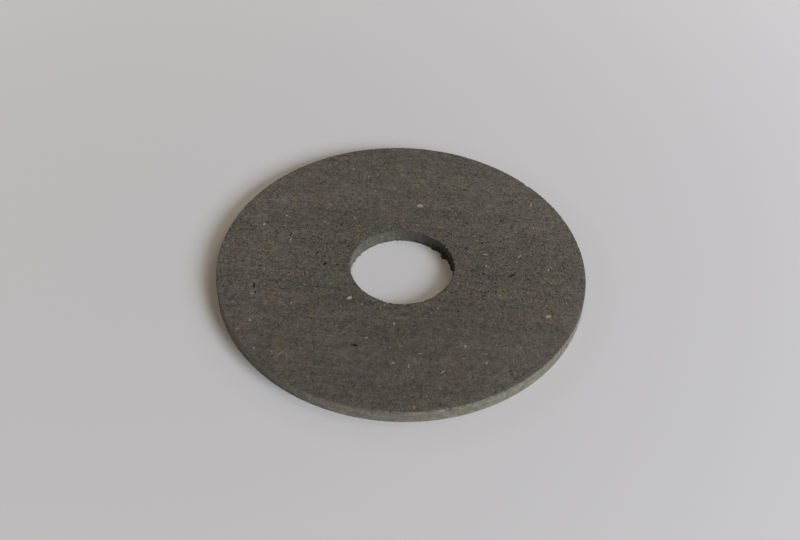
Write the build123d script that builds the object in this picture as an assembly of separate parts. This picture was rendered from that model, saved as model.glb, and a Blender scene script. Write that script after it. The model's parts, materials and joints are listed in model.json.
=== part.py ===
"""A friction washer: a flat ring of moulded friction material, in one piece.

The ring is clamped between two plates on a spindle and drags on them as they turn. Both
faces are ground flat, and the rim and the bore are cut square to them. The four cut edges
are left almost sharp: only the brittle corner of the material is rubbed away, a little
more round the rim, where the ring is handled, than round the bore.

Frame, in millimetres: the ring lies flat, +Z is up along its axis, and the origin is on
that axis, in the face that the ring rests on.
"""
from build123d import *
import math
import os

PARTS_FOLDER = "parts"

# The ring as it is cut from the sheet.
OUTER_DIAMETER = 50.0
BORE_DIAMETER = 14.0
THICKNESS = 2.0

# How far each corner between a face and a cut wall is rubbed round.
RIM_EDGE_RADIUS = 0.10
BORE_EDGE_RADIUS = 0.06

# The share of a cut wall that stays straight between its two rubbed corners, at least.
STRAIGHT_WALL_SHARE = 0.1


def cut_blank():
    """The ring with square edges: the sheet's thickness between rim and bore."""
    outline = Circle(OUTER_DIAMETER / 2) - Circle(BORE_DIAMETER / 2)
    return extrude(outline, amount=THICKNESS)


def rub_corners(ring, wall_diameter, wanted_radius):
    """Round both edges of the cut wall of this diameter, as far as its height allows."""
    wall_edges = ring.edges().filter_by(GeomType.CIRCLE).filter_by(
        lambda edge: math.isclose(edge.radius, wall_diameter / 2)
    )
    largest_radius = (1 - STRAIGHT_WALL_SHARE) * THICKNESS / 2
    return fillet(wall_edges, min(wanted_radius, largest_radius))


def friction_washer():
    """The finished ring: the blank with its rim and its bore rubbed."""
    ring = cut_blank()
    ring = rub_corners(ring, OUTER_DIAMETER, RIM_EDGE_RADIUS)
    ring = rub_corners(ring, BORE_DIAMETER, BORE_EDGE_RADIUS)
    ring.label = "friction_washer"
    return ring


def main():
    os.makedirs(PARTS_FOLDER, exist_ok=True)
    washer = friction_washer()
    export_step(washer, os.path.join(PARTS_FOLDER, f"{washer.label}.step"))
    print(f"{washer.label}: {washer.volume:.1f} mm3, {washer.bounding_box().size}")


main()
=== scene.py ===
"""The friction washer's looks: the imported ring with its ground, pitted faces and cut walls.

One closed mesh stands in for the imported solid. Its two faces are triangulated round torn
pits, grains and fibres, its edges are worn and chipped, and its bore has a ragged lower
edge. Two materials finish it: one for the ground faces and one for the cut walls.

Lengths are in millimetres, in the part's own frame, and MM turns them into Blender's
metres. Plan angles are in degrees, from +X towards +Y, so the camera stands at 270.
"""

import json
import math
from collections import namedtuple

import bpy
import numpy as np
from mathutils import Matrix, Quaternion, Vector
from mathutils.geometry import delaunay_2d_cdt


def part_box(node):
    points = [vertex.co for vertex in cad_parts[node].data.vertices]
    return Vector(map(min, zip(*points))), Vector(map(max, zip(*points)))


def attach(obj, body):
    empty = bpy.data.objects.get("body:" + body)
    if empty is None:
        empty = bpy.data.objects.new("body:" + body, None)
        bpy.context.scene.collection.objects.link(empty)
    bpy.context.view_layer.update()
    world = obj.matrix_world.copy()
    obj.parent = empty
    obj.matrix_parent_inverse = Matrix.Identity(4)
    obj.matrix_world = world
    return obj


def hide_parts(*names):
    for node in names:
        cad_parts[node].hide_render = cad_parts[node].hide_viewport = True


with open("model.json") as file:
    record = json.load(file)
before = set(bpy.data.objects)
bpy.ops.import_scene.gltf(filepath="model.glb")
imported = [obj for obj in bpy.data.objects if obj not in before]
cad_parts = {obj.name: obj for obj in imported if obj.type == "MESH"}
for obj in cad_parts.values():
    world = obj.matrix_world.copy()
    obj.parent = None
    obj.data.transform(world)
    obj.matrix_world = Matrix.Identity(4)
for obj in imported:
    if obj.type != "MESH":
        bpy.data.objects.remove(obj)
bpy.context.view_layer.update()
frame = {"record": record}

MM = 0.001
NODE = "friction_washer"
SEED = 50142

# The ring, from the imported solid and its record.
ring_low, ring_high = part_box(NODE)
OUTER_RADIUS = min(ring_high.x, ring_high.y, -ring_low.x, -ring_low.y) / MM
TOP_Z = ring_high.z / MM
BORE_RADIUS = next(
    mount["dims"]["r_mm"] for mount in frame["record"]["mounts"] if mount["name"] == "bore"
)

# The camera: where it stands, and where in the image it puts the centre of the upper face.
IMAGE_WIDTH = 800
IMAGE_HEIGHT = 540
SENSOR_WIDTH = 36.0
FOCAL_PIXELS = 1229.0
CAMERA_DISTANCE = 167.0
CAMERA_ELEVATION = 45.295
CAMERA_ROLL = 1.846
CENTRE_PIXEL_X = 401.30
CENTRE_PIXEL_Y = 266.10

# The lights: direction in plan and height above the horizon, distance, size, colour, and
# the share of the light on a level surface that each gives.
KEY = dict(
    azimuth=-40.0, elevation=28.5, distance=700.0, width=375.0, height=265.0,
    colour=(0.90, 1.0, 1.14), share=0.56,
)
LAMP = dict(
    azimuth=-111.0, elevation=61.0, distance=700.0, width=180.0, height=180.0,
    colour=(1.13, 1.0, 0.62), share=0.15,
)
FILL = dict(
    azimuth=18.0, elevation=56.0, distance=800.0, width=520.0, height=400.0,
    colour=(1.12, 1.0, 0.82), share=0.18,
)
ROOM_LIGHT = (0.125, 0.11, 0.115)
BACKDROP_COLOUR = (0.50, 0.49, 0.49)

# The pale surface that it lies on. Its colour grows a little paler away from the washer: painted
# light, making up for how the lamps fall off across the floor.
FLOOR_SIZE = 3000.0
FLOOR_COLOUR = (0.519, 0.507, 0.517)
FLOOR_MIDDLE = (5.0, -26.0, 0.0)
FLOOR_REACH = 140.0
# Painted light: how much paler the floor's colour grows towards its far parts.
FLOOR_PAINTED_LIGHT = 0.44
# Painted shade on the floor round the washer, for the room's light that it keeps off there: by how
# much darker, and how far from its rim.
FLOOR_PAINTED_SHADE = 0.075
FLOOR_PAINTED_SHADE_REACH = 5.5

# The friction material where it is ground, and where it is cut.
GROUND_COLOUR = (0.0832, 0.0727, 0.0612)
CUT_COLOUR = (0.157, 0.137, 0.100)

# Colours of single grains and fibres, and of the dust in the pits. The near-black one is dust and
# painted shade: it darkens pits, broken corners and chips, and the shaded foot of the walls.
WHITE = (0.36, 0.345, 0.32)
CHALKY = (0.25, 0.235, 0.21)
PALE = (0.18, 0.165, 0.140)
TAN = (0.31, 0.26, 0.20)
RUST = (0.150, 0.119, 0.090)
COPPER = (0.21, 0.142, 0.108)
OLIVE = (0.14, 0.132, 0.098)
# Near black: dust, and painted shade where it darkens hollows and breaks.
DARK_DUST_AND_SHADE = (0.009, 0.007, 0.005)

# Single grains, fibres and pits that stand out on the upper face: place, half length, half
# width, turn in plan and colour. The near-black ones are pits, darkened by dust and by painted shade.
STANDING_OUT = (
    (-6.7, -6.2, 0.38, 0.24, 30, WHITE), (-19.38, 7.4, 0.24, 0.17, 80, WHITE),
    (-16.4, 9.4, 0.18, 0.13, 0, WHITE), (-19.75, -5.95, 0.22, 0.13, 10, CHALKY),
    (-0.68, -10.5, 0.26, 0.15, 75, CHALKY), (-4.15, -13.1, 0.2, 0.12, 10, CHALKY),
    (-0.65, -17.2, 0.2, 0.12, 0, CHALKY), (1.35, -17.6, 0.42, 0.06, 88, CHALKY),
    (2.78, -15.5, 0.32, 0.07, 20, CHALKY), (5.7, -18.4, 0.4, 0.08, 40, CHALKY),
    (8.5, -14.05, 0.3, 0.13, 100, CHALKY), (11.2, -16.7, 0.24, 0.11, 60, CHALKY),
    (4.97, -7.6, 0.3, 0.07, 88, CHALKY), (-19.4, -10.7, 0.17, 0.12, 20, WHITE),
    (-7.46, 19.85, 0.22, 0.13, 85, CHALKY), (-3.85, 20.2, 0.14, 0.1, 70, CHALKY),
    (-3.4, 19.6, 0.14, 0.1, 10, PALE), (-3.9, 18.85, 0.18, 0.12, 40, CHALKY),
    (-5.16, 18.3, 0.2, 0.11, 85, CHALKY), (-4.1, 15.1, 0.2, 0.14, 0, CHALKY),
    (-10.1, 21.0, 0.14, 0.1, 0, CHALKY), (-11.2, 17.7, 0.14, 0.1, 0, CHALKY),
    (-1.4, 15.8, 0.55, 0.06, 122, CHALKY), (-6.75, 9.3, 0.5, 0.07, 112, CHALKY),
    (-1.8, 7.75, 0.24, 0.09, 95, CHALKY), (8.6, 18.7, 0.15, 0.1, 0, PALE),
    (11.57, 2.8, 0.42, 0.12, 5, CHALKY), (16.2, 2.6, 0.44, 0.1, 48, CHALKY),
    (20.0, 0.23, 0.3, 0.09, 78, WHITE), (14.8, 6.4, 0.5, 0.07, 3, PALE),
    (16.4, -6.2, 0.4, 0.07, 150, PALE), (-15.4, 4.6, 0.34, 0.06, 78, WHITE),
    (2.37, 12.28, 0.5, 0.4, 10, TAN), (19.45, -8.42, 0.42, 0.24, 5, TAN),
    (20.33, -8.35, 0.13, 0.16, 0, OLIVE), (18.3, 13.2, 0.52, 0.1, 70, TAN),
    (3.67, 15.1, 0.22, 0.2, 0, RUST), (7.58, 12.98, 0.26, 0.18, 80, RUST),
    (7.6, 14.4, 0.6, 0.09, 88, RUST), (20.7, 12.2, 0.32, 0.14, 60, RUST),
    (5.2, 7.95, 0.42, 0.14, 5, RUST), (-6.3, 7.75, 0.24, 0.08, 0, RUST),
    (-13.05, 0.0, 0.62, 0.08, 86, RUST), (-13.55, -3.0, 0.42, 0.08, 90, RUST),
    (-13.8, -7.3, 0.22, 0.12, 80, RUST), (-10.97, 8.29, 0.18, 0.13, 60, CHALKY),
    (-14.95, 1.32, 0.26, 0.09, 5, PALE), (-17.1, 0.7, 0.16, 0.12, 0, PALE),
    (-16.6, 0.4, 0.14, 0.1, 0, OLIVE), (-20.9, 0.5, 0.16, 0.12, 0, PALE),
    (-19.1, 3.8, 0.24, 0.11, 60, OLIVE), (21.9, 2.85, 0.34, 0.07, 50, PALE),
    (10.4, 5.45, 0.34, 0.08, 3, PALE), (14.8, 7.0, 0.3, 0.08, 0, PALE),
    (17.4, -5.5, 0.5, 0.08, 85, RUST), (-5.0, -7.3, 0.24, 0.14, 0, PALE),
    (-15.1, -16.35, 1.0, 0.13, 47, RUST), (-20.87, -12.28, 0.18, 0.13, 95, TAN),
    (-20.62, -12.86, 0.12, 0.11, 0, DARK_DUST_AND_SHADE), (-18.41, -15.5, 0.24, 0.17, 80, PALE),
    (-11.18, -19.86, 0.22, 0.14, 80, OLIVE), (-14.3, -7.4, 0.14, 0.1, 60, TAN),
    (-13.55, -8.05, 0.13, 0.1, 0, OLIVE), (6.16, -22.5, 0.18, 0.12, 0, RUST),
    (2.1, -24.15, 0.24, 0.2, 90, COPPER), (-5.7, -14.4, 0.54, 0.22, 172, DARK_DUST_AND_SHADE),
    (14.9, -1.15, 0.56, 0.2, 33, DARK_DUST_AND_SHADE), (-19.56, -4.45, 0.5, 0.13, 98, DARK_DUST_AND_SHADE),
    (-19.2, -5.76, 0.36, 0.1, 95, DARK_DUST_AND_SHADE), (-15.5, 5.45, 0.38, 0.12, 80, DARK_DUST_AND_SHADE),
    (-10.38, 0.02, 0.28, 0.21, 30, DARK_DUST_AND_SHADE), (-11.55, 2.05, 0.28, 0.2, 60, DARK_DUST_AND_SHADE),
    (-12.4, 5.25, 0.22, 0.15, 0, DARK_DUST_AND_SHADE), (-11.65, 5.1, 0.18, 0.12, 30, DARK_DUST_AND_SHADE),
    (-8.76, -0.07, 0.2, 0.15, 0, DARK_DUST_AND_SHADE), (-14.34, 1.02, 0.18, 0.09, 5, DARK_DUST_AND_SHADE),
    (-11.1, -4.27, 0.19, 0.12, 20, DARK_DUST_AND_SHADE), (-19.07, -0.78, 0.36, 0.12, 160, DARK_DUST_AND_SHADE),
    (11.1, -5.05, 0.22, 0.14, 0, DARK_DUST_AND_SHADE), (6.75, -4.7, 0.18, 0.13, 0, DARK_DUST_AND_SHADE),
    (12.75, -4.3, 0.2, 0.13, 40, DARK_DUST_AND_SHADE), (17.85, -0.95, 0.24, 0.08, 10, DARK_DUST_AND_SHADE),
    (-7.35, 3.55, 0.21, 0.17, 0, DARK_DUST_AND_SHADE), (11.3, -4.55, 0.2, 0.13, 20, DARK_DUST_AND_SHADE),
    (-15.5, -4.9, 0.7, 0.08, 176, DARK_DUST_AND_SHADE), (-8.6, 7.8, 0.18, 0.14, 0, DARK_DUST_AND_SHADE),
)

# Rows of torn pits along the sanding direction on the upper face: from and to along X, and Y.
TORN_ROWS = (
    (-17.6, -13.1, -4.6), (-15.0, -12.4, -5.1), (-9.8, -6.3, -6.2), (-20.7, -16.9, -2.5),
    (-15.5, -13.8, -1.3), (-23.6, -21.6, 1.8), (-21.5, -18.0, -9.6), (16.5, 19.5, 3.0),
)
# Rows at random places: how many, and the ranges of their start along X, length and Y.
MORE_TORN_ROWS = (24, (-24, -2), (1.5, 5.0), (-16, 18))

# Soft stains on the upper face, and darker and paler patches and bands that are painted shade and
# painted light, for how the lamps fall across the face and on its unevenness: how much each shifts
# the red, green and blue, and where their centres are and how far they reach. A long one has a
# half length, a half width and a turn in plan.
RUSTY = (0.12, 0.03, -0.09)
MAUVE = (0.0, -0.025, 0.02)
GREENISH = (0.11, 0.15, 0.0)
# Painted shade and painted light: broad darker and paler patches.
PAINTED_DIM = (-0.07, -0.07, -0.07)
PAINTED_LIT = (0.07, 0.07, 0.07)
WARM = (0.012, -0.004, -0.022)
STAINS_AND_PAINTED_LIGHT = (
    (RUSTY, (
        (-12.2, 13.2, 1.3), (-15.3, 13.2, 1.0), (-13.1, 0.0, 0.9), (-13.4, -2.8, 0.9),
        (-17.7, -6.3, 1.4), (-14.1, -7.1, 0.8), (-11.5, -8.1, 1.0), (-6.1, 7.7, 1.3),
        (-3.1, -7.6, 0.8), (-4.8, -7.4, 0.7), (7.5, 14.0, 0.9), (20.7, 12.2, 0.8),
        (-15.3, -15.7, 1.2), (-23.4, 6.9, 0.7), (-21.3, -12.3, 0.6), (5.2, 8.0, 0.8),
        (2.4, 12.6, 0.9), (17.5, -3.9, 0.6), (15.5, -7.9, 0.8), (19.9, -8.3, 1.2),
        (1.9, -7.3, 0.6), (3.8, -6.6, 0.6), (5.4, -5.5, 0.5), (21.4, -11.7, 0.6),
    )),
    (MAUVE, (
        (-4.6, -19.1, 1.9), (-8.0, -7.6, 1.0), (-8.0, 22.0, 1.6), (12.0, -2.6, 1.6),
        (11.5, -8.5, 1.1), (1.0, -10.4, 1.1), (-1.0, -13.2, 1.2), (10.3, 5.6, 1.0),
    )),
    (GREENISH, (
        (-18.3, 2.2, 1.8), (-9.5, -3.0, 1.3), (6.0, 18.0, 1.8), (2.0, 16.6, 1.3),
        (-7.4, -8.8, 1.1), (-8.5, 15.5, 1.7), (8.2, 17.3, 1.3), (10.5, 4.4, 1.3),
        (13.6, -4.1, 1.1), (20.3, -2.2, 1.4), (-1.0, 19.5, 1.6), (-22.6, -8.5, 0.9),
        (1.8, -23.3, 0.7),
    )),
    # Painted shade: darker patches and bands.
    (PAINTED_DIM, (
        (0.0, -17.5, 9.0), (-1.0, 21.0, 8.0), (-7.5, 10.0, 5.0), (8.0, 16.5, 4.5), (9.5, 5.0, 3.5),
        (18.5, 4.0, 3.5), (-10.5, -4.5, 3.5), (7.5, -7.0, 3.0), (-8.0, -23.0, 3.5),
        (-13.5, -12.5, 5.5), (-13.0, 19.5, 5.5), (10.5, 21.0, 4.5), (-12.5, 9.0, 3.0),
        (-13.5, -5.0, 7.0, 0.55, -8), (-16.5, -4.4, 3.5, 0.45, -6), (-8.5, -6.0, 2.6, 0.50, -4),
        (14.0, -1.6, 5.5, 0.45, -7), (17.0, 3.8, 3.5, 0.45, -7), (14.5, -7.6, 6.5, 0.45, -8),
        (16.5, -9.7, 6.5, 0.50, -8), (-7.0, 21.8, 5.0, 0.60, -4), (8.0, 19.8, 6.5, 0.55, -11),
        (-10.0, 8.6, 5.0, 0.60, -6), (-15.5, 11.2, 5.0, 0.45, -3), (4.0, -9.0, 6.0, 0.50, -5),
        (-16.0, -8.4, 6.0, 0.45, -5), (-6.0, -20.3, 6.5, 0.55, -4), (2.0, 14.2, 6.0, 0.45, -9),
    )),
    # Painted light: paler patches and bands.
    (PAINTED_LIT, (
        (24.0, 4.0, 6.0), (23.0, -6.0, 6.0), (18.5, -15.5, 6.0), (12.0, -21.0, 4.5), (15.0, 14.0, 3.0),
        (-17.0, 14.5, 4.0), (-1.0, 16.0, 4.5), (-20.0, 3.0, 6.0), (-18.0, -7.0, 3.5),
        (23.5, -7.5, 3.5), (22.0, 9.5, 4.0), (-15.5, 12.4, 5.0, 0.45, -3), (-16.0, 2.4, 6.0, 0.60, -5),
        (12.0, 17.6, 6.0, 0.50, -12), (15.0, -5.4, 6.5, 0.50, -7), (-4.0, 18.8, 6.0, 0.60, -5),
    )),
    (WARM, ((0.0, -17.0, 11.0), (17.0, -4.0, 10.0), (-15.0, -12.0, 9.0))),
)
# Stains and patches of painted shade at random places: how many of each kind, and their strength
# beside those above.
MORE_STAINS_AND_SHADE = ((RUSTY, 20), (MAUVE, 80), (GREENISH, 170), (PAINTED_DIM, 40))
MORE_STAINS_AND_SHADE_STRENGTH = 0.58
MORE_STAINS_AND_SHADE_REACH = (0.4, 1.3)
# The upper face is darker round its bore: by how much, and how far out.
BORE_SHADED = 0.10
BORE_SHADED_REACH = 9.0
# Painted sheen: how much paler the upper face is at its far side, which is seen at a more grazing
# angle, than at its near side.
FACE_PAINTED_SHEEN = 0.27

# How finely the mesh follows the ring.
RIM_STEPS = 960
BORE_STEPS = 440
RIM_WALL_ROWS = 11
BORE_WALL_ROWS = 14
CORNER_ANGLES = (30.0, 60.0, 90.0)
GROUND_CORNER_ROWS = 2
UPPER_SPACING = 0.31
LOWER_SPACING = 0.55
BORDER_GAP = 0.15
BORDER_RING = 0.4
MARK_MARGIN = 0.06
RAGGED = 0.22

# Marks scattered over each face: how many, the range of their half widths, the most length
# for the width, a pit's depth in half widths or 0 for a grain, colours, and range of shares.
# The near-black pits are darkened by dust and by painted shade.
UPPER_SCATTER = (
    (420, (0.07, 0.14), 2.6, 0.9, [DARK_DUST_AND_SHADE], (0.2, 0.8)),
    (260, (0.05, 0.09), 1.8, 0, [CHALKY, PALE], (0.3, 0.9)),
    (160, (0.05, 0.12), 2.2, 0, [RUST, TAN, RUST], (0.3, 0.6)),
    (700, (0.032, 0.050), 10.0, 0, [PALE, CHALKY, OLIVE], (0.4, 0.9)),
    (3600, (0.045, 0.09), 2.4, 1.1, [DARK_DUST_AND_SHADE], (0.15, 0.75)),
)
LOWER_SCATTER = (
    (120, (0.09, 0.16), 2.0, 0.9, [DARK_DUST_AND_SHADE], (0.4, 0.7)),
    (60, (0.07, 0.14), 1.8, 0, [WHITE, TAN], (0.5, 0.9)),
    (60, (0.06, 0.12), 2.2, 0, [RUST, COPPER], (0.3, 0.6)),
    (120, (0.040, 0.055), 9.0, 0, [PALE, OLIVE], (0.3, 0.8)),
    (380, (0.055, 0.09), 2.0, 1.3, [DARK_DUST_AND_SHADE], (0.3, 0.6)),
)
PIT_DEPTH = 1.2
# How far a standing-out pit is covered by near black, dust and painted shade, and a grain by its
# colour.
PIT_SHARE = 0.85
GRAIN_SHARE = 0.8
# Marks with a longer half length get more corners, and a pit then has a bottom.
LARGE_MARK = 0.13

# How uneven the ground faces are, below the box that holds the ring.
FACE_RELIEF = 0.022

# Wear of the four cut edges: the usual corner radius and how much more it gets in places.
RIM_WEAR = 0.045
RIM_WEAR_SPREAD = 0.08
LOWER_RIM_WEAR_SPREAD = 0.12
BORE_WEAR = 0.03
BORE_WEAR_SPREAD = 0.08
WALL_DENTS = 0.016

# Small bites torn out of the upper edges: how many, the most that each is wide to each side
# in degrees, and the most that it is deep.
RIM_BITES = (170, 0.5, 0.15)
BORE_BITES = (90, 1.5, 0.23)

# Where the walls are torn more deeply: plan angles from and to, and how many times deeper.
TORN_RIM = (320, 350, 3.0)
TORN_BORE = (-12, 62, 5.0)

# Where the bore's wall is torn back as a whole, or stands in where that is below 0: plan
# angles from and to, and how far.
BORE_TORN_BACK = ((-26, 49, 0.14), (324, 338, 0.10), (92, 102, 0.12), (194, 256, -0.11))

# Chips out of the rim's two edges: plan angle, half width in degrees and depth.
RIM_CHIPS = (
    (44.4, 0.9, 0.26), (284.9, 0.7, 0.30), (328.9, 0.6, 0.26), (331.3, 0.6, 0.30),
    (268.0, 0.4, 0.22), (302.0, 0.5, 0.20), (238.0, 0.4, 0.18), (150.0, 0.6, 0.18),
    (12.0, 0.7, 0.20), (95.0, 0.6, 0.16), (324.3, 0.6, 0.22), (320.7, 0.5, 0.20),
    (336.1, 1.4, 0.22), (340.5, 0.8, 0.20), (317.3, 0.5, 0.18), (314.3, 0.4, 0.16),
)
LOWER_RIM_CHIPS = (
    (330.3, 0.6, 0.58), (333.3, 0.8, 0.44), (336.6, 0.6, 0.36), (341.0, 0.8, 0.32),
    (327.2, 0.6, 0.30), (322.0, 0.5, 0.16), (312.0, 0.5, 0.15), (259.0, 0.5, 0.16),
    (247.0, 0.4, 0.14),
)
# Bites out of the bore's upper edge: plan angle, half width in degrees and depth.
BORE_CHIPS = (
    (47.9, 1.6, 0.22), (41.5, 1.2, 0.20), (36.0, 1.8, 0.36), (29.5, 1.0, 0.26), (23.1, 1.8, 0.34),
    (16.5, 1.2, 0.24), (13.0, 1.6, 0.36), (5.5, 2.0, 0.32), (0.0, 1.2, 0.20), (356.0, 1.4, 0.24),
    (326.0, 1.0, 0.18), (319.5, 1.5, 0.30), (313.0, 0.9, 0.22), (306.0, 1.2, 0.24), (296.0, 1.0, 0.16),
)
# Burrs on the bore's lower edge: plan angle, half width in degrees and how far they stand out.
BORE_BURRS = (
    (50.5, 3.0, 0.20), (34.2, 4.6, 0.46), (13.2, 2.6, 0.26), (22.0, 1.6, 0.08), (4.0, 1.5, 0.08),
    (158.0, 1.8, 0.15), (146.6, 2.2, 0.22), (137.0, 1.2, 0.08), (127.0, 1.6, 0.07),
    (121.9, 1.3, 0.11), (113.5, 1.5, 0.13), (105.5, 1.0, 0.06), (95.3, 1.4, 0.20),
    (90.0, 0.9, 0.07), (175.0, 1.8, 0.14), (182.0, 1.6, 0.18), (190.0, 1.4, 0.12),
    (352.0, 2.0, 0.12), (166.0, 1.2, 0.10),
)
BORE_FUZZ = 0.13
BURR_HEIGHT = 0.8

# Grains and scores on the two walls: how many, the most faces that one covers, and colours.
RIM_SCORES = (1000, 26)
BORE_SCORES = (300, 5)
SCORE_TINTS = [PALE, PALE, WHITE, RUST, TAN, DARK_DUST_AND_SHADE, DARK_DUST_AND_SHADE]

# Marks on the two walls: plan angles from and to, heights from and to, colour and share. The
# near-black ones marked below are painted shade.
RIM_MARKS = (
    (274.4, 275.7, 1.25, 2.0, COPPER, 0.7),
    (281.5, 283.4, 1.65, 2.0, TAN, 0.5),
    # Painted shade in the chip at 284.9 degrees.
    (284.2, 285.6, 1.70, 2.0, DARK_DUST_AND_SHADE, 0.6),
    (290.0, 291.0, 1.55, 1.75, PALE, 0.6),
    (209.5, 210.6, 1.80, 2.0, TAN, 0.5),
    (15.3, 16.5, 1.90, 2.0, WHITE, 0.5),
    (331.5, 333.8, 0.0, 0.25, PALE, 0.7),
    (336.5, 337.6, 0.0, 0.20, PALE, 0.5),
    (340.0, 341.4, 0.0, 0.30, WHITE, 0.4),
    (331.2, 334.6, 0.90, 1.75, COPPER, 0.6),
    # Painted shade from here on: along the chipped upper edge, beside the lower chips, and at the
    # wall's foot on its shaded left side.
    (316.0, 343.0, 1.90, 2.0, DARK_DUST_AND_SHADE, 0.4),
    (329.5, 330.8, 0.45, 0.85, DARK_DUST_AND_SHADE, 0.7),
    (333.8, 334.6, 0.35, 0.80, DARK_DUST_AND_SHADE, 0.6),
    (326.7, 327.5, 0.25, 0.60, DARK_DUST_AND_SHADE, 0.5),
    (213.0, 242.0, 0.0, 0.10, DARK_DUST_AND_SHADE, 0.5),
)
BORE_MARKS = (
    (184.0, 252.0, 1.93, 2.0, DARK_DUST_AND_SHADE, 0.70),
    # Painted shade from here to the pit: the foot of the bore's wall where it faces away from the
    # lamps, the burrs' shade along its lower edge, and a pit in the wall.
    (-10.0, 64.0, 0.0, 0.60, DARK_DUST_AND_SHADE, 0.60),
    (60.0, 75.0, 0.0, 0.40, DARK_DUST_AND_SHADE, 0.65),
    (27.0, 53.0, 0.0, 1.20, DARK_DUST_AND_SHADE, 0.85),
    (10.0, 27.0, 0.0, 0.95, DARK_DUST_AND_SHADE, 0.70),
    (88.0, 160.0, 0.0, 0.14, DARK_DUST_AND_SHADE, 0.75),
    (136.2, 138.2, 0.95, 1.75, DARK_DUST_AND_SHADE, 0.70),
    (31.8, 33.4, 1.80, 2.0, PALE, 0.8),
    (19.3, 21.4, 1.80, 2.0, PALE, 0.8),
    (26.5, 27.8, 1.85, 2.0, OLIVE, 0.7),
    (8.6, 10.2, 1.80, 2.0, OLIVE, 0.7),
)

# How the colour of the two walls changes round the ring, partly their own hue and tone and partly
# painted light and shade, darker where a wall faces away from the lamps: plan angle, and the change
# of the red, green and blue.
# Partly painted light and shade: the rim's wall painted darker or paler by how the lamps fall on it.
RIM_HUE_AND_PAINTED_LIGHT = (
    (195, 0.15, 0.13, 0.45), (210, 0.0, -0.01, 0.18), (225, -0.08, -0.05, 0.14),
    (240, -0.02, 0.0, 0.13), (255, 0.0, 0.0, 0.06), (270, -0.08, -0.09, -0.09),
    (285, -0.01, 0.0, -0.03), (300, 0.04, 0.05, 0.02), (315, 0.03, 0.02, -0.02),
    (330, 0.05, 0.0, 0.03), (345, 0.08, 0.09, 0.24),
)
# Painted shade: the bore's wall is painted darkest where it faces away from the lamps, from 0 to 60
# degrees.
BORE_TONE_AND_PAINTED_SHADE = (
    (10, -0.79, -0.78, -0.71), (30, -0.73, -0.70, -0.58), (55, -0.64, -0.62, -0.50),
    (85, -0.53, -0.51, -0.48), (100, -0.49, -0.48, -0.45), (115, -0.46, -0.45, -0.40),
    (130, -0.43, -0.42, -0.36), (145, -0.40, -0.40, -0.34), (160, -0.29, -0.27, -0.19),
    (220, -0.30, -0.28, -0.20),
)

GROUND_FACE, CUT_WALL = 0, 1

Mark = namedtuple("Mark", "outline inner drop tint share")


def add_object(name, data):
    """A new object in the scene."""
    added = bpy.data.objects.new(name, data)
    bpy.context.scene.collection.objects.link(added)
    return added


class Shell:
    """The washer's surface while it is put together: points, faces and their colours."""

    def __init__(self):
        self.points, self.stains, self.count = [], [], 0
        self.faces, self.materials, self.tints, self.shares = [], [], [], []
        self.places = []

    def add_points(self, points, stains=(0, 0, 0)):
        """Adds an array of points and returns their numbers."""
        first = self.count
        self.points.append(np.asarray(points, float))
        self.stains.append(np.broadcast_to(stains, (len(points), 3)))
        self.count += len(points)
        return np.arange(first, self.count)

    def add_faces(self, corners, places, material, tints=(0, 0, 0), shares=0.0):
        """Adds faces of one material. Places are where their corners lie in the flat map.
        A tint covers a face by its share, from 0 to 1."""
        self.faces += corners.tolist()
        self.places.append(places.reshape(-1, 2))
        self.materials.append(np.full(len(corners), material))
        self.tints.append(np.broadcast_to(tints, (len(corners), 3)))
        self.shares.append(np.broadcast_to(shares, len(corners)))

    def build(self, name):
        """The finished Blender object, with its stains and painted light and shade, its tints and its
        flat map.
        """
        mesh = bpy.data.meshes.new(name)
        points = np.concatenate(self.points) * MM
        mesh.from_pydata(points.tolist(), [], self.faces)
        mesh.polygons.foreach_set("material_index", np.concatenate(self.materials).astype(np.int32))
        for label, domain, width, values in (
            ("stain", "POINT", 3, self.stains),
            ("mark_tint", "FACE", 3, self.tints),
            ("mark_share", "FACE", 1, self.shares),
        ):
            kind, field = ("FLOAT_VECTOR", "vector") if width == 3 else ("FLOAT", "value")
            layer = mesh.attributes.new(label, kind, domain)
            layer.data.foreach_set(field, np.concatenate(values).astype(np.float32).ravel())
        flat = mesh.uv_layers.new(name="OFBake")
        flat.data.foreach_set("uv", np.concatenate(self.places).astype(np.float32).ravel())
        mesh.shade_smooth()
        mesh.set_sharp_from_angle(angle=math.radians(38))
        return add_object(name, mesh)


class FreeArea:
    """Keeps the marks on a face apart: a grid of small cells, each free or taken."""

    CELL = 0.05

    def __init__(self, rim_radii, bore_radii):
        self.reach = OUTER_RADIUS + self.CELL
        cells = int(2 * self.reach / self.CELL) + 1
        self.middle = (np.arange(cells) + 0.5) * self.CELL - self.reach
        x, y = np.meshgrid(self.middle, self.middle, indexing="ij")
        away, turn = np.hypot(x, y), np.arctan2(y, x) / (2 * math.pi)
        outer = widest_near(-rim_radii, 3)[(turn * RIM_STEPS).astype(int) % RIM_STEPS]
        inner = widest_near(bore_radii, 3)[(turn * BORE_STEPS).astype(int) % BORE_STEPS]
        self.taken = (away < inner + BORDER_GAP) | (away > -outer - BORDER_GAP)

    def claim(self, x, y, half_length, half_width, turn):
        """Takes the cells of an ellipse, if they all are free."""
        reach = max(half_length, half_width)
        i0, i1 = np.searchsorted(self.middle, [x - reach, x + reach])
        j0, j1 = np.searchsorted(self.middle, [y - reach, y + reach])
        dx, dy = self.middle[i0:i1, None] - x, self.middle[None, j0:j1] - y
        along, across = along_across(dx, dy, turn)
        inside = np.hypot(along / half_length, across / half_width) < 1
        window = self.taken[i0:i1, j0:j1]
        if (window & inside).any():
            return False
        window |= inside
        return True

    def free(self, points):
        """Which of the points lie in free cells."""
        cell = ((points + self.reach) / self.CELL).astype(int)
        cell = cell.clip(0, len(self.middle) - 1)
        return ~self.taken[cell[:, 0], cell[:, 1]]


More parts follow.
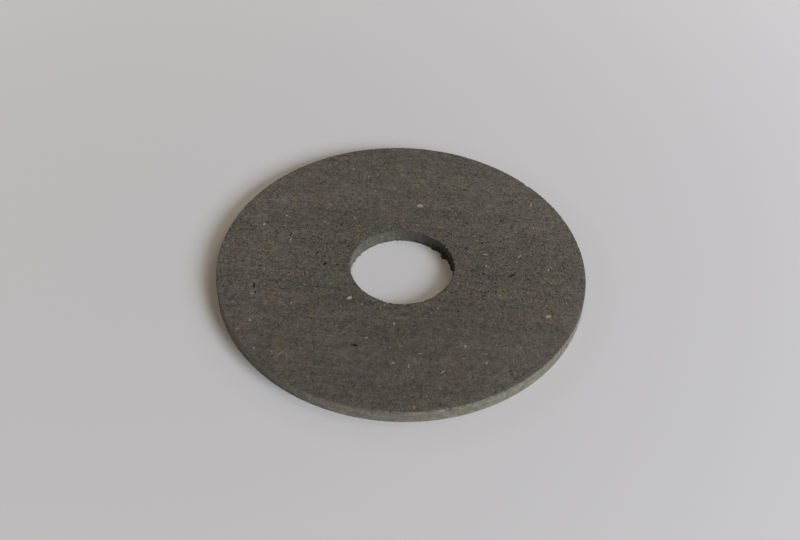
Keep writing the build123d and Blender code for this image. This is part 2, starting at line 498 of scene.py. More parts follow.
def along_across(dx, dy, turn):
    """The parts of a plan distance along a direction and across it."""
    return dx * math.cos(turn) + dy * math.sin(turn), dy * math.cos(turn) - dx * math.sin(turn)


def random_place(rng):
    """A random place on a ground face, evenly spread."""
    away = math.sqrt(rng.uniform(BORE_RADIUS ** 2, OUTER_RADIUS ** 2))
    turn = rng.uniform(0, 2 * math.pi)
    return away * math.cos(turn), away * math.sin(turn)


def plan_degrees(steps):
    """The plan angle of each step round a ring."""
    return np.arange(steps) * 360 / steps


def between(steps, start, end, soft):
    """For each step round a ring, 1 between two plan angles and 0 outside, with soft ends."""
    middle, half = (start + end) / 2, (end - start) / 2
    off = np.abs((plan_degrees(steps) - middle + 180) % 360 - 180)
    return ((half - off) / soft + 0.5).clip(0, 1)


def widest_near(values, reach):
    """The greatest value within so many steps round a ring, for each step."""
    return np.max([np.roll(values, shift) for shift in range(-reach, reach + 1)], axis=0)


def clouds(rng, u, v, columns=96, rows=96):
    """Smooth random values from 0 to 1: a grid of cells that repeats, read u and v cells in."""
    grid = rng.random((columns, rows))
    i, j = np.floor(u).astype(int), np.floor(v).astype(int)
    s, t = u - i, v - j
    s, t = s * s * (3 - 2 * s), t * t * (3 - 2 * t)
    near = grid[i % columns, j % rows] * (1 - s) + grid[(i + 1) % columns, j % rows] * s
    j = j + 1
    far = grid[i % columns, j % rows] * (1 - s) + grid[(i + 1) % columns, j % rows] * s
    return near * (1 - t) + far * t


def ring_points(radii, heights):
    """A ring of points at even plan angles, with one radius and height each."""
    angles = np.arange(len(radii)) * 2 * math.pi / len(radii)
    return np.stack([radii * np.cos(angles), radii * np.sin(angles), heights], axis=1)


def bumps_round(steps, bumps):
    """Rounded bumps along a ring: plan angle, half width in degrees and height of each."""
    degrees = plan_degrees(steps)
    total = np.zeros(steps)
    for angle, half_width, height in bumps:
        off = (degrees - angle + 180) % 360 - 180
        total = np.maximum(total, height * (1 - (off / half_width) ** 2).clip(0, None))
    return total


def worn_edge(rng, steps, wear, spread, chips=(), bites=(0, 0, 0)):
    """The corner radius all round an edge, and where it is broken: a fine raggedness, with
    small bites and deeper chips."""
    place = np.arange(steps)
    fine = clouds(rng, place / 1.5, 0 * place, int(steps / 1.5), 1) ** 2
    coarse = clouds(rng, place / 12, 0 * place, steps // 12, 1)
    worn = wear + spread * fine * (0.3 + 0.7 * coarse)
    count, widest, deepest = bites
    small = [
        (rng.uniform(0, 360), widest * rng.uniform(0.3, 1), deepest * rng.uniform(0.3, 1))
        for _ in range(count)
    ]
    broken = bumps_round(steps, [*chips, *small]) * rng.uniform(0.6, 1.1, steps)
    return np.maximum(worn, broken), broken > worn


def corner_place(wear, angle):
    """How far back from the wall and from the face a point of a corner lies, at an angle of
    its round. A rubbed corner is round there, and a broken one is flat."""
    radius, broken = wear
    turn = math.radians(angle)
    inset = radius * np.where(broken, 1 - angle / 90, 1 - math.sin(turn))
    fall = radius * np.where(broken, angle / 90, 1 - math.cos(turn))
    return inset, fall


def burrs(rng):
    """How far the bore's lower edge stands into the bore, all round."""
    place = np.arange(BORE_STEPS)
    fuzz = clouds(rng, place / 2.5, 0 * place, int(BORE_STEPS / 2.5), 1) ** 3
    fuzz = fuzz * (0.3 + 0.7 * clouds(rng, place / 11, 0 * place, BORE_STEPS // 11, 1))
    ragged = 0.4 + 0.6 * between(BORE_STEPS, *TORN_BORE[:2], 20)
    raised = bumps_round(BORE_STEPS, BORE_BURRS) * rng.uniform(0.6, 1.1, BORE_STEPS)
    return np.maximum(BORE_FUZZ * fuzz * ragged, raised) + 0.3 * BORE_FUZZ * fuzz


def torn_back(steps):
    """How far the bore's wall is torn back, all round."""
    return sum(depth * between(steps, start, end, 9) for start, end, depth in BORE_TORN_BACK)


def outline(rng, x, y, half_length, half_width, turn, corners):
    """An uneven closed outline round a point, as an array of plan positions."""
    angles = (np.arange(corners) + rng.uniform(-0.2, 0.2, corners)) * 2 * math.pi / corners
    swell = 1 + rng.uniform(-RAGGED, RAGGED, corners)
    along, across = half_length * np.cos(angles) * swell, half_width * np.sin(angles) * swell
    return np.stack(
        [
            x + along * math.cos(turn) - across * math.sin(turn),
            y + along * math.sin(turn) + across * math.cos(turn),
        ],
        axis=1,
    )


def place_mark(rng, area, marks, x, y, half_length, half_width, turn, depth, tint, share):
    """Puts one mark on a face if its place is free: a pit if it has a depth, or else a grain
    that is ground level with the face."""
    grown = 1 + RAGGED
    reach = half_length * grown + MARK_MARGIN, half_width * grown + MARK_MARGIN
    if not area.claim(x, y, *reach, turn):
        return
    large = half_length > LARGE_MARK
    shape = outline(rng, x, y, half_length, half_width, turn, 8 if large else 5)
    if depth == 0:
        inner, drop = np.empty((0, 2)), np.empty(0)
    elif large:
        inner = outline(rng, x, y, half_length * 0.7, half_width * 0.55, turn, 4)
        drop = depth * rng.uniform(0.7, 1.1, 4)
    else:
        inner, drop = np.array([[x, y]]), np.array([depth])
    marks.append(Mark(shape, inner, drop, tint, share))


def scatter(rng, area, marks, count, half_widths, longest, depth, tints, shares):
    """Scatters marks over a face. Half widths and shares are ranges, longest is the greatest
    length for the width, and a pit's depth is in half widths."""
    for _ in range(count):
        place = random_place(rng)
        half_width = half_widths[0] * (half_widths[1] / half_widths[0]) ** rng.random()
        half_length = half_width * (1 + (longest - 1) * rng.random() ** 1.5)
        turn = rng.uniform(0, math.pi)
        tint = tints[rng.integers(len(tints))]
        share = rng.uniform(*shares)
        place_mark(
            rng, area, marks, *place, half_length, half_width, turn, depth * half_width, tint, share
        )


def tear_row(rng, area, marks, start, end, y):
    """A row of torn pits along the sanding direction."""
    x, slope = start, rng.uniform(-0.10, 0.04)
    while x < end:
        half_width = rng.uniform(0.04, 0.08)
        half_length = rng.uniform(0.08, 0.22)
        lift = rng.uniform(-0.08, 0.08)
        # Each pit is tinted near black: dust, and painted shade in its hollow.
        place_mark(
            rng, area, marks, x, y + lift, half_length, half_width, math.atan(slope),
            PIT_DEPTH * half_width, DARK_DUST_AND_SHADE, rng.uniform(0.25, 0.7),
        )
        step = 2 * half_length + rng.uniform(0.12, 0.4)
        x, y = x + step, y + slope * step


def filler_points(rng, area, spacing):
    """A loose triangular grid over the free part of a face, with a ring along each border."""
    rows = np.arange(-OUTER_RADIUS, OUTER_RADIUS, spacing * math.sqrt(3) / 2)
    columns = np.arange(-OUTER_RADIUS, OUTER_RADIUS, spacing)
    x, y = np.meshgrid(columns, rows)
    x[1::2] += spacing / 2
    grid = np.stack([x.ravel(), y.ravel()], axis=1)
    grid += rng.uniform(-0.2, 0.2, grid.shape) * spacing
    away = np.hypot(*grid.T)
    inner, outer = BORE_RADIUS + BORDER_RING, OUTER_RADIUS - BORDER_RING
    grid = grid[(away > inner + 0.2) & (away < outer - 0.2)]
    borders = [
        ring_points(np.full(steps // 2, radius), np.zeros(steps // 2))[:, :2]
        for radius, steps in ((inner, BORE_STEPS), (outer, RIM_STEPS))
    ]
    filler = np.concatenate([grid, *borders])
    return filler[area.free(filler)]


def inside_ring(points, ring):
    """Which points lie inside a ring of points at even plan angles."""
    turn = np.arctan2(points[:, 1], points[:, 0]) % (2 * math.pi) / (2 * math.pi)
    first = (turn * len(ring)).astype(int) % len(ring)
    side = ring[(first + 1) % len(ring)] - ring[first]
    away = points - ring[first]
    return side[:, 0] * away[:, 1] - side[:, 1] * away[:, 0] > 0


def loop_edges(first, count):
    """The edges of a closed loop of points with numbers in a row."""
    numbers = first + np.arange(count)
    return np.stack([numbers, np.roll(numbers, -1)], axis=1)


def triangulate_face(rim, bore, marks, filler):
    """Fills one face with triangles. Returns plan points, depths, triangles and owners.

    The points start with the rim's ring and then the bore's, in order. A triangle's owner
    is the mark that it belongs to, or -1.
    """
    points, depths = [rim, bore], [np.zeros(len(rim) + len(bore))]
    owners = [np.full(len(rim) + len(bore), -1)]
    edges = [loop_edges(0, len(rim)), loop_edges(len(rim), len(bore))]
    first = len(rim) + len(bore)
    for number, mark in enumerate(marks):
        edges.append(loop_edges(first, len(mark.outline)))
        points += [mark.outline, mark.inner]
        depths += [np.zeros(len(mark.outline)), mark.drop]
        count = len(mark.outline) + len(mark.inner)
        owners.append(np.full(count, number))
        first += count
    points = np.concatenate([*points, filler])
    depths = np.concatenate([*depths, np.zeros(len(filler))])
    owners = np.concatenate([*owners, np.full(len(filler), -1)])
    result = delaunay_2d_cdt(
        [Vector(point) for point in points], np.concatenate(edges).tolist(), [], 0, 1e-7, True
    )
    source = np.array([numbers[0] for numbers in result[3]])
    triangles = source[np.array(result[2])]
    middle = points[triangles].mean(axis=1)
    triangles = triangles[inside_ring(middle, rim) & ~inside_ring(middle, bore)]
    owner = owners[triangles]
    same = (owner == owner[:, :1]).all(axis=1)
    return points, depths, triangles, np.where(same, owner[:, 0], -1)


def relief(rng, points):
    """How far a ground face lies below its highest level: lumps, grooves and single grains."""
    x, y = points.T
    lumps = clouds(rng, x / 0.7, y / 0.7)
    grooves = clouds(rng, x / 4.0, y / 0.45 + x * 0.1)
    grains = rng.random(len(points))
    drop = FACE_RELIEF * (0.35 * lumps + 0.3 * grooves + 0.35 * grains)
    return drop - drop.min()


def off_centre(points, x, y, half_length, half_width=None, turn=0.0):
    """How far points lie off the centre of a spot, where its edge is 1. It is round without
    a half width."""
    along, across = along_across(points[:, 0] - x, points[:, 1] - y, math.radians(turn))
    return np.hypot(along / half_length, across / (half_width or half_length))


def stains_at(rng, points, fixed):
    """How far the soft stains and the patches of painted shade and painted light shift the colour at
    each point of a face, with painted sheen towards its far side and a darker ring round the bore.
    """
    patches = [(shift, place) for shift, places in fixed for place in places]
    for kind, count in MORE_STAINS_AND_SHADE:
        shift = np.array(kind) * MORE_STAINS_AND_SHADE_STRENGTH
        for _ in range(count):
            patches.append((shift, (*random_place(rng), rng.uniform(*MORE_STAINS_AND_SHADE_REACH))))
    waver = clouds(rng, points[:, 0] / 0.5, points[:, 1] / 0.5)
    shifts = np.zeros((len(points), 3))
    for shift, place in patches:
        off = off_centre(points, *place) * (0.6 + 0.8 * waver)
        weight = (1 - off ** 2).clip(0, None)
        shifts += weight[:, None] * np.array(shift)
    away = (np.hypot(*points.T) - BORE_RADIUS) / BORE_SHADED_REACH
    shaded = BORE_SHADED * (1 - away ** 2).clip(0, None)
    # Painted sheen: paler towards the face's far side.
    along = points[:, 1:] / OUTER_RADIUS
    return shifts.clip(-0.4, 0.5) + FACE_PAINTED_SHEEN / 2 * along - shaded[:, None]


def upper_marks(rng, area):
    """Every mark on the upper face."""
    marks = []
    for x, y, half_length, half_width, turn, tint in STANDING_OUT:
        depth = PIT_DEPTH * half_width if tint == DARK_DUST_AND_SHADE else 0
        share = PIT_SHARE if tint == DARK_DUST_AND_SHADE else GRAIN_SHARE
        place_mark(
            rng, area, marks, x, y, half_length, half_width, math.radians(turn), depth, tint, share
        )
    for start, end, y in TORN_ROWS:
        tear_row(rng, area, marks, start, end, y)
    count, starts, lengths, levels = MORE_TORN_ROWS
    for _ in range(count):
        start = rng.uniform(*starts)
        tear_row(rng, area, marks, start, start + rng.uniform(*lengths), rng.uniform(*levels))
    for kind in UPPER_SCATTER:
        scatter(rng, area, marks, *kind)
    return marks


def lower_marks(rng, area):
    """Every mark on the underside, which is ground like the upper face."""
    marks = []
    for kind in LOWER_SCATTER:
        scatter(rng, area, marks, *kind)
    return marks


# The flat map for the finish: the upper face large, the underside small, and the cut walls
# in strips below.
UPPER_MAP = (0.37, 0.63, 0.36)
LOWER_MAP = (0.78, 0.22, 0.21)
STRIP_LEFT, STRIP_BOTTOM, STRIP_WIDTH, STRIP_HEIGHT, STRIP_GAP = 0.012, 0.012, 0.262, 0.040, 0.008
RIM_STRIPS, BORE_STRIPS = 8, 2


def add_ground_face(shell, rng, find_marks, spacing, fixed_stains, rim_radii, bore_radii, faces_up):
    """One ground face. Returns the numbers and heights of its rim's and its bore's points."""
    rim = ring_points(rim_radii, 0 * rim_radii)[:, :2]
    bore = ring_points(bore_radii, 0 * bore_radii)[:, :2]
    area = FreeArea(rim_radii, bore_radii)
    marks = find_marks(rng, area)
    filler = filler_points(rng, area, spacing)
    points, depths, triangles, owners = triangulate_face(rim, bore, marks, filler)
    drop = relief(rng, points) + depths
    heights = TOP_Z - drop if faces_up else drop
    numbers = shell.add_points(
        np.column_stack([points, heights]), stains_at(rng, points, fixed_stains)
    )
    tints = np.array([mark.tint for mark in marks] + [(0, 0, 0)])
    shares = np.array([mark.share for mark in marks] + [0.0])
    if not faces_up:
        triangles = triangles[:, ::-1]
    u, v, reach = UPPER_MAP if faces_up else LOWER_MAP
    places = points[triangles] / OUTER_RADIUS * reach + (u, v)
    shell.add_faces(numbers[triangles], places, GROUND_FACE, tints[owners], shares[owners])
    rings = slice(0, RIM_STEPS), slice(RIM_STEPS, RIM_STEPS + BORE_STEPS)
    return [(numbers[ring], heights[ring]) for ring in rings]


def wall_dents(rng, steps, rows, circumference, torn):
    """How deep the cut wall is dented, by row and step: long shallow scores and small pits."""
    start, end, deeper = torn
    row, step = np.meshgrid(np.arange(rows), np.arange(steps), indexing="ij")
    cells = int(circumference / 1.4)
    scores = clouds(rng, step * cells / steps, row / 1.2, cells, rows)
    grains = rng.random((rows, steps))
    pits = (rng.random((rows, steps)) > 0.985) * rng.uniform(1, 3, (rows, steps))
    depth = 1 + (deeper - 1) * between(steps, start, end, 10)
    return WALL_DENTS * depth * (0.5 * scores + 0.5 * grains + pits)


def wall_tints(rng, steps, rows, count, longest, marks, broken):
    """Colours of the grains, scores and marks that show in a cut wall, one for each face.
    Longest is the most faces that a score covers. The upper corner is painted dark where broken, as
    painted shade in the break."""
    rows += 2 * len(CORNER_ANGLES)
    tints, shares = np.zeros((rows, steps, 3)), np.zeros((rows, steps))
    for _ in range(count):
        row, step = rng.integers(rows), rng.integers(steps)
        run = (step + np.arange(int(rng.uniform(1, longest ** 0.5) ** 2))) % steps
        tints[row, run] = SCORE_TINTS[rng.integers(len(SCORE_TINTS))]
        shares[row, run] = rng.uniform(0.12, 0.50) / len(run) ** 0.2
    corner = len(CORNER_ANGLES)
    fringe = clouds(rng, np.arange(steps) / 2, np.zeros(steps), steps // 2, 1)
    for row, least in ((corner, 0.35), (corner + 1, 0.65)):
        tints[row, fringe > least] = GROUND_COLOUR
        shares[row, fringe > least] = 0.75
    # Painted shade: broken upper corners tinted near black.
    tints[:corner, broken], shares[:corner, broken] = DARK_DUST_AND_SHADE, 0.4
    height = TOP_Z * (1 - (np.arange(rows) - corner + 0.5) / (rows - 2 * corner))
    height = height.clip(0, TOP_Z)
    degrees = plan_degrees(steps)
    for start, end, low, high, tint, share in marks:
        here = (height >= low) & (height <= high)
        inside = (degrees - start) % 360 <= end - start
        if end - start > 5:
            inside &= clouds(rng, np.arange(steps) / 2.5, np.zeros(steps), steps // 3, 1) > 0.35
        where = np.outer(here, inside)
        uneven = share * rng.uniform(0.7, 1.0, where.sum())
        tints[where], shares[where] = tint, uneven
    return tints, shares


def add_wall(shell, radius, upper, lower, wears, flare, dents, tints, shares, stains, outward, strips):
    """The cut wall between two faces, with its rubbed corners above and below.

    Upper and lower each hold the face's point numbers and heights. The flare is how far the
    lower edge stands out of the wall.
    """
    side = 1 if outward else -1
    steps, rows = len(flare), len(dents)
    rings = [upper[0]]
    for angle in CORNER_ANGLES:
        inset, fall = corner_place(wears[0], angle)
        rings.append(shell.add_points(ring_points(radius - side * inset, upper[1] - fall), stains))
    top, bottom = upper[1] - wears[0][0], lower[1] + wears[1][0]
    for row in range(1, rows):
        share = row / rows
        height = top * (1 - share) + bottom * share
        standing = flare * (1 - height / BURR_HEIGHT).clip(0, 1) ** 1.5
        radii = radius + side * (standing - dents[row])
        rings.append(shell.add_points(ring_points(radii, height), stains))
    for angle in CORNER_ANGLES[::-1]:
        inset, rise = corner_place(wears[1], angle)
        radii = radius + side * (flare - inset)
        rings.append(shell.add_points(ring_points(radii, lower[1] + rise), stains))
    rings.append(lower[0])
    column = np.arange(steps)
    strip_steps = steps // strips
    strip = column // strip_steps + (0 if outward else RIM_STRIPS)
    left = STRIP_LEFT + (strip % 2) * (STRIP_WIDTH + STRIP_GAP)
    base = STRIP_BOTTOM + (strip // 2) * (STRIP_HEIGHT + STRIP_GAP)
    start = left + column % strip_steps / strip_steps * STRIP_WIDTH
    end = start + STRIP_WIDTH / strip_steps
    count = len(rings) - 1
    for number, (above, below) in enumerate(zip(rings, rings[1:])):
        high = base + (1 - number / count) * STRIP_HEIGHT
        low = base + (1 - (number + 1) / count) * STRIP_HEIGHT
        corners = np.stack([above, below, np.roll(below, -1), np.roll(above, -1)], axis=1)
        places = np.array([(start, high), (start, low), (end, low), (end, high)]).transpose(2, 0, 1)
        if not outward:
            corners, places = corners[:, ::-1], places[:, ::-1]
        material = GROUND_FACE if number < GROUND_CORNER_ROWS else CUT_WALL
        shell.add_faces(corners, places, material, tints[number], shares[number])


def hue_and_painted_light_round(steps, shades):
    """A wall's change of colour for each step round the ring: its own hue and tone, and painted light
    and shade.
    """
    angles, *changes = zip(*shades)
    changes = [np.interp(plan_degrees(steps), angles, change, period=360) for change in changes]
    return np.stack(changes, axis=1)


def washer():
    """The whole washer as one closed mesh."""
    rng = np.random.default_rng(SEED)
    shell = Shell()
    flare = burrs(rng)
    rim_wears = (
        worn_edge(rng, RIM_STEPS, RIM_WEAR, RIM_WEAR_SPREAD, RIM_CHIPS, RIM_BITES),
        worn_edge(rng, RIM_STEPS, RIM_WEAR, LOWER_RIM_WEAR_SPREAD, LOWER_RIM_CHIPS),
    )
    bore_wears = (
        worn_edge(rng, BORE_STEPS, BORE_WEAR, BORE_WEAR_SPREAD, BORE_CHIPS, BORE_BITES),
        worn_edge(rng, BORE_STEPS, BORE_WEAR, 0.3 * BORE_WEAR_SPREAD),
    )
    bore = BORE_RADIUS + torn_back(BORE_STEPS)
    upper_rim, upper_bore = add_ground_face(
        shell, rng, upper_marks, UPPER_SPACING, STAINS_AND_PAINTED_LIGHT,
        OUTER_RADIUS - rim_wears[0][0], bore + bore_wears[0][0], True,
    )
    lower_rim, lower_bore = add_ground_face(
        shell, rng, lower_marks, LOWER_SPACING, (),
        OUTER_RADIUS - rim_wears[1][0], bore + bore_wears[1][0] - flare, False,
    )
    dents = wall_dents(rng, RIM_STEPS, RIM_WALL_ROWS, 2 * math.pi * OUTER_RADIUS, TORN_RIM)
    tints, shares = wall_tints(
        rng, RIM_STEPS, RIM_WALL_ROWS, *RIM_SCORES, RIM_MARKS, rim_wears[0][1]
    )
    add_wall(
        shell, OUTER_RADIUS, upper_rim, lower_rim, rim_wears, np.zeros(RIM_STEPS),
        dents, tints, shares, hue_and_painted_light_round(RIM_STEPS, RIM_HUE_AND_PAINTED_LIGHT), True, RIM_STRIPS,
    )
    dents = wall_dents(rng, BORE_STEPS, BORE_WALL_ROWS, 2 * math.pi * BORE_RADIUS, TORN_BORE)
    tints, shares = wall_tints(
        rng, BORE_STEPS, BORE_WALL_ROWS, *BORE_SCORES, BORE_MARKS, bore_wears[0][1]
    )
    add_wall(
        shell, bore, upper_bore, lower_bore, bore_wears, flare,
        dents, tints, shares, hue_and_painted_light_round(BORE_STEPS, BORE_TONE_AND_PAINTED_SHADE), False, BORE_STRIPS,
    )
    return shell.build("friction_washer_surface")


class Graph:
    """The shader nodes of one material, added and wired one at a time."""

    def __init__(self, name):
        self.material = bpy.data.materials.new(name)
        self.material.use_nodes = True
        self.tree = self.material.node_tree
        self.shader = self.tree.nodes["Principled BSDF"]

    def feed(self, socket, value):
        """Gives a socket a plain value or another node's output."""
        if isinstance(value, bpy.types.NodeSocket):
            self.tree.links.new(value, socket)
        else:
            socket.default_value = value

    def node(self, kind, inputs, **settings):
        """Adds a node. An input is a number, a tuple or another node's output."""
        made = self.tree.nodes.new(kind)
        for name, value in settings.items():
            setattr(made, name, value)
        for socket, value in inputs.items():
            self.feed(made.inputs[socket], value)
        return made

    def set(self, socket, value):
        """Gives the shader's socket a plain value or another node's output."""
        self.feed(self.shader.inputs[socket], value)

    def place(self):
        """The point's place in the part's frame, in millimetres."""
        coordinates = self.node("ShaderNodeTexCoord", {}).outputs["Object"]
        return self.vector("SCALE", {0: coordinates, "Scale": 1 / MM})

    def vector(self, operation, inputs):
        return self.node("ShaderNodeVectorMath", inputs, operation=operation).outputs["Vector"]

    def math(self, operation, *values):
        return self.node(
            "ShaderNodeMath", dict(enumerate(values)), operation=operation
        ).outputs["Value"]

    def distance(self, place, other):
        inputs = {0: place, 1: other}
        return self.node("ShaderNodeVectorMath", inputs, operation="DISTANCE").outputs["Value"]

    def times(self, first, *factors):
        """The product of a value and its factors."""
        for factor in factors:
            first = self.math("MULTIPLY", first, factor)
        return first

    def turned(self, place, degrees, stretch):
        """The place turned about Z, and then stretched along its new X and Y."""
        inputs = {"Vector": place, "Angle": math.radians(-degrees)}
        across = self.node("ShaderNodeVectorRotate", inputs, rotation_type="Z_AXIS").outputs[0]
        return self.vector("MULTIPLY", {0: across, 1: stretch})

    def noise(self, place, size, detail=0.0, rough=0.5):
        """Cloudy noise about 0.5, with lumps of this size: its outputs."""
        inputs = {"Vector": place, "Scale": 1 / size, "Detail": detail, "Roughness": rough}
        return self.node("ShaderNodeTexNoise", inputs).outputs

    def ramp(self, value, start, end, low=0.0, high=1.0):
        """Maps start..end to low..high, and holds the ends."""
        inputs = {"Value": value, "From Min": start, "From Max": end, "To Min": low, "To Max": high}
        return self.node("ShaderNodeMapRange", inputs, clamp=True).outputs["Result"]

    def fibres(self, place, turns, length, width, start, end):
        """Sparse short fibres in a few directions, as a mask from 0 to 1."""
        mask = None
        for number, degrees in enumerate(turns):
            shifted = self.vector("ADD", {0: place, 1: (17.0 * number, 0.0, 0.0)})
            along = self.turned(shifted, degrees, (width / length, 1.0, 1.0))
            layer = self.ramp(self.noise(along, width)["Fac"], start, end)
            mask = layer if mask is None else self.math("MAXIMUM", mask, layer)
        return mask

    def streaks(self, place, waver):
        """Long thin scores along X that waver a little, as a mask from 0 to 1."""
        wavering = self.vector("MULTIPLY_ADD", {0: waver, 1: (0.0, 0.6, 0.0), 2: place})
        drawn_out = self.turned(wavering, -3.0, (0.06, 1.0, 1.0))
        return self.ramp(self.noise(drawn_out, 0.24)["Fac"], 0.58, 0.72)

    def weighted(self, layers):
        """1 plus a sum of layers, each about 0.5, by their weights."""
        total = 1.0 - sum(weight for _, weight in layers) / 2
        for layer, weight in layers:
            total = self.math("MULTIPLY_ADD", layer, weight, total)
        return total

    def attribute(self, name, output):
        return self.node("ShaderNodeAttribute", {}, attribute_name=name).outputs[output]

    def mix(self, share, first, second):
        """One colour going over into another by a share from 0 to 1."""
        made = self.tree.nodes.new("ShaderNodeMix")
        made.data_type = "RGBA"
        sockets = [socket for socket in made.inputs if socket.enabled]
        for socket, value in zip(sockets, (share, first, second)):
            self.feed(socket, value)
        return next(socket for socket in made.outputs if socket.enabled)

    def bump(self, height, distance):
        """A normal from a height of 0 to 1, where 1 is this far out."""
        inputs = {"Height": height, "Strength": 1.0, "Distance": distance * MM}
        return self.node("ShaderNodeBump", inputs).outputs["Normal"]


def shifted_colour(graph, place, base, tone, patch_size, patch_weight):
    """A base colour with its tone, its soft patches of hue, and the stains and painted light and shade
    on it.
    """
    hue = graph.noise(place, patch_size, 2.0)["Color"]
    swing = graph.vector("MULTIPLY_ADD", {
        0: hue, 1: patch_weight, 2: tuple(1.0 - weight / 2 for weight in patch_weight)
    })
    stained_and_painted = graph.vector("ADD", {0: swing, 1: graph.attribute("stain", "Vector")})
    toned = graph.vector("SCALE", {0: stained_and_painted, "Scale": tone})
    return graph.vector("MULTIPLY", {0: toned, 1: base})


def finished(graph, colour, roughness, specular, normal):
    """The material, with the marks' own tints over its colour."""
    tint, share = graph.attribute("mark_tint", "Vector"), graph.attribute("mark_share", "Fac")
    graph.set("Base Color", graph.mix(share, colour, tint))
    graph.set("Roughness", roughness)
    graph.set("Specular IOR Level", specular)
    graph.set("Normal", normal)
    return graph.material


def ground_face():
    """The ground faces: dark fibrous matrix with pale and dark grain, fine pits and scores."""
    graph = Graph("ground_friction_material")
    place = graph.place()
    brushed = graph.noise(graph.turned(place, -4.0, (0.10, 1.0, 1.0)), 1.4, 1.0)["Fac"]
    lumps = graph.noise(place, 0.85, 1.0)["Fac"]
    upright = graph.vector("MULTIPLY", {0: place, 1: (1.0, 0.62, 1.0)})
    grain = graph.noise(upright, 0.30, 1.0, 0.6)["Fac"]
    specks = graph.noise(upright, 0.14)["Fac"]
    scores = graph.noise(graph.turned(place, -3.0, (0.12, 1.0, 1.0)), 0.32)["Fac"]
    pale_fibres = graph.fibres(place, (15, 72, 108, 150), 0.65, 0.11, 0.62, 0.70)
    dark_fibres = graph.fibres(place, (18, 58, 92, 130), 0.40, 0.13, 0.60, 0.69)
    across, along, _ = graph.node("ShaderNodeSeparateXYZ", {0: place}).outputs
    harsh = graph.times(
        graph.ramp(along, -14.0, -3.0, 0.55, 1.0), graph.ramp(along, 6.0, 18.0, 1.15, 0.74),
        graph.ramp(across, -12.0, 10.0, 1.0, 1.08),
    )
    away = graph.math("ABSOLUTE", along)
    lumpy = graph.times(
        graph.ramp(away, 6.0, 20.0, 0.60, 0.88), graph.ramp(across, 4.0, 14.0, 1.0, 0.72)
    )
    tone = graph.weighted([(grain, 0.61), (specks, 0.84)])
    tone = graph.math("MULTIPLY_ADD", pale_fibres, 0.52, tone)
    tone = graph.math("MULTIPLY_ADD", dark_fibres, -0.30, tone)
    tone = graph.times(graph.math("SUBTRACT", tone, 1.0), harsh)
    tone = graph.math("ADD", tone, graph.weighted([(brushed, 0.36), (scores, 0.26)]))
    tone = graph.math("MULTIPLY_ADD", graph.math("SUBTRACT", lumps, 0.5), lumpy, tone)
    streaks = graph.streaks(place, lumps)
    streaked = graph.times(
        graph.ramp(across, -10.0, 0.0, 0.20, 0.12), graph.ramp(along, -14.0, -4.0, 0.3, 1.0)
    )
    tone = graph.math("SUBTRACT", tone, graph.times(streaks, streaked))
    tone = graph.math("MAXIMUM", tone, 0.15)
    colour = shifted_colour(graph, place, GROUND_COLOUR, tone, 1.8, (0.09, 0.08, 0.17))
    height = graph.weighted([(grain, 0.8), (specks, 0.5), (scores, 0.4)])
    height = graph.math("MULTIPLY_ADD", dark_fibres, -0.3, height)
    rough = graph.ramp(grain, 0.3, 0.7, 0.88, 0.74)
    return finished(graph, colour, rough, 0.25, graph.bump(height, 0.035))


def cut_wall():
    """The cut walls: paler and smoother, with a soft grain that is drawn out upwards."""
    graph = Graph("cut_friction_material")
    place = graph.place()
    lumps = graph.noise(place, 1.1, 1.0)["Fac"]
    grain = graph.noise(place, 0.26, 2.0, 0.6)["Fac"]
    smears = graph.noise(graph.vector("MULTIPLY", {0: place, 1: (1.0, 1.0, 0.35)}), 0.35)["Fac"]
    tone = graph.weighted([(lumps, 0.42), (grain, 0.55), (smears, 0.55)])
    colour = shifted_colour(graph, place, CUT_COLOUR, tone, 1.6, (0.20, 0.10, 0.30))
    height = graph.weighted([(grain, 0.8), (smears, 0.6)])
    rough = graph.ramp(grain, 0.3, 0.7, 0.75, 0.6)
    return finished(graph, colour, rough, 0.35, graph.bump(height, 0.025))


def floor():
    """The pale surface, which isn't part of the washer. Its colour holds painted light, paler away
    from the washer, and painted shade close round it.
    """
    graph = Graph("pale_surface")
    place = graph.place()
    # Painted light: the floor's colour grows paler away from a middle near the washer.
    share = graph.ramp(graph.distance(place, FLOOR_MIDDLE), 0.0, FLOOR_REACH)
    painted_floor_light = graph.math("MULTIPLY_ADD", graph.times(share, share), FLOOR_PAINTED_LIGHT, 1.0)
    # Painted shade: the floor's colour darker close round the washer.
    near = graph.distance(place, (0.0, 0.0, 0.0))
    shaded = graph.ramp(near, OUTER_RADIUS, OUTER_RADIUS + FLOOR_PAINTED_SHADE_REACH, 1 - FLOOR_PAINTED_SHADE, 1.0)
    painted_floor_light = graph.times(painted_floor_light, shaded)
    graph.set("Base Color", graph.vector("SCALE", {0: FLOOR_COLOUR, "Scale": painted_floor_light}))
    graph.set("Roughness", 0.9)
    graph.set("Specular IOR Level", 0.2)
    half = FLOOR_SIZE / 2 * MM
    mesh = bpy.data.meshes.new("floor")
    corners = [(-half, -half, 0), (half, -half, 0), (half, half, 0), (-half, half, 0)]
    mesh.from_pydata(corners, [], [(0, 1, 2, 3)])
    mesh.materials.append(graph.material)
    add_object("floor", mesh)


def towards(azimuth, elevation):
    """The direction with this plan angle and height above the horizon, in degrees."""
    turn, rise = math.radians(azimuth), math.radians(elevation)
    return Vector(
        (math.cos(turn) * math.cos(rise), math.sin(turn) * math.cos(rise), math.sin(rise))
    )


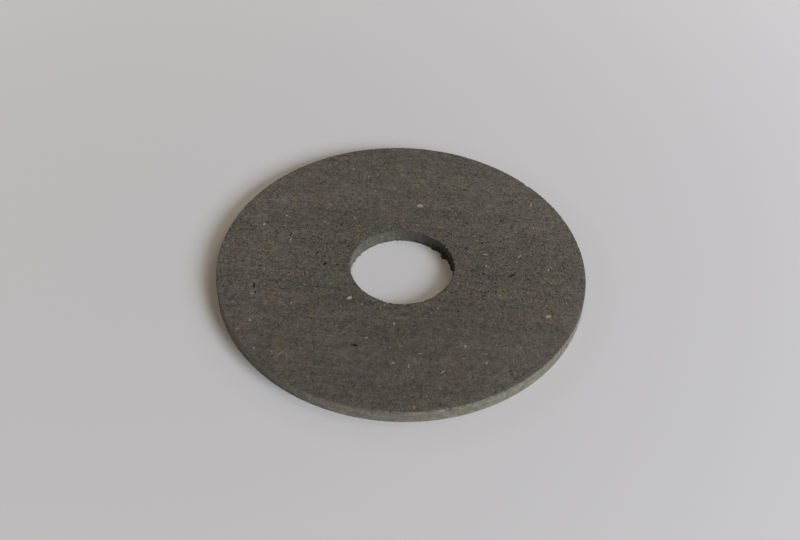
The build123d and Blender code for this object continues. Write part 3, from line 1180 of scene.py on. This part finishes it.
def soft_box(name, azimuth, elevation, distance, width, height, colour, share):
    """A soft rectangular light. With a share of 1 a level surface in the middle would show
    its colour as it is written."""
    direction = towards(azimuth, elevation)
    light = bpy.data.lights.new(name, "AREA")
    light.shape = "RECTANGLE"
    light.size, light.size_y = width * MM, height * MM
    light.color = colour
    light.energy = share / direction.z * (math.pi * distance * MM) ** 2
    lamp = add_object(name, light)
    lamp.location = direction * distance * MM
    lamp.rotation_mode = "QUATERNION"
    lamp.rotation_quaternion = (-direction).to_track_quat("-Z", "Y")


def room():
    """A weak light from all round, and a pale background behind the floor."""
    world = bpy.data.worlds.new("room")
    world.use_nodes = True
    nodes, links = world.node_tree.nodes, world.node_tree.links
    seen = nodes.new("ShaderNodeLightPath").outputs["Is Camera Ray"]
    choice = nodes.new("ShaderNodeMix")
    choice.data_type = "RGBA"
    factor, dim, pale = [socket for socket in choice.inputs if socket.enabled]
    dim.default_value, pale.default_value = (*ROOM_LIGHT, 1.0), (*BACKDROP_COLOUR, 1.0)
    links.new(seen, factor)
    result = next(socket for socket in choice.outputs if socket.enabled)
    links.new(result, nodes["Background"].inputs["Color"])
    bpy.context.scene.world = world


def camera():
    """The camera looks at the upper face's centre, and puts it at its pixel in the image."""
    back = towards(270.0, CAMERA_ELEVATION)
    data = bpy.data.cameras.new("camera")
    data.sensor_width = SENSOR_WIDTH
    data.lens = FOCAL_PIXELS / IMAGE_WIDTH * SENSOR_WIDTH
    data.clip_start, data.clip_end = 0.01, 10.0
    viewer = add_object("camera", data)
    viewer.location = (Vector((0, 0, TOP_Z)) + back * CAMERA_DISTANCE) * MM
    aim = (-back).to_track_quat("-Z", "Y")
    roll = Quaternion((0, 0, 1), math.radians(CAMERA_ROLL))
    right = (CENTRE_PIXEL_X - IMAGE_WIDTH / 2) / FOCAL_PIXELS
    down = (CENTRE_PIXEL_Y - IMAGE_HEIGHT / 2) / FOCAL_PIXELS
    offset = Quaternion(Vector((down, right, 0)), math.atan(math.hypot(down, right)))
    viewer.rotation_mode = "QUATERNION"
    viewer.rotation_quaternion = aim @ roll @ offset
    bpy.context.scene.camera = viewer


def main():
    piece = washer()
    piece.data.materials.append(ground_face())
    piece.data.materials.append(cut_wall())
    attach(piece, "root")
    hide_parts(NODE)
    floor()
    soft_box("key", **KEY)
    soft_box("lamp", **LAMP)
    soft_box("fill", **FILL)
    room()
    camera()
    bpy.context.scene.view_settings.view_transform = "Standard"


main()
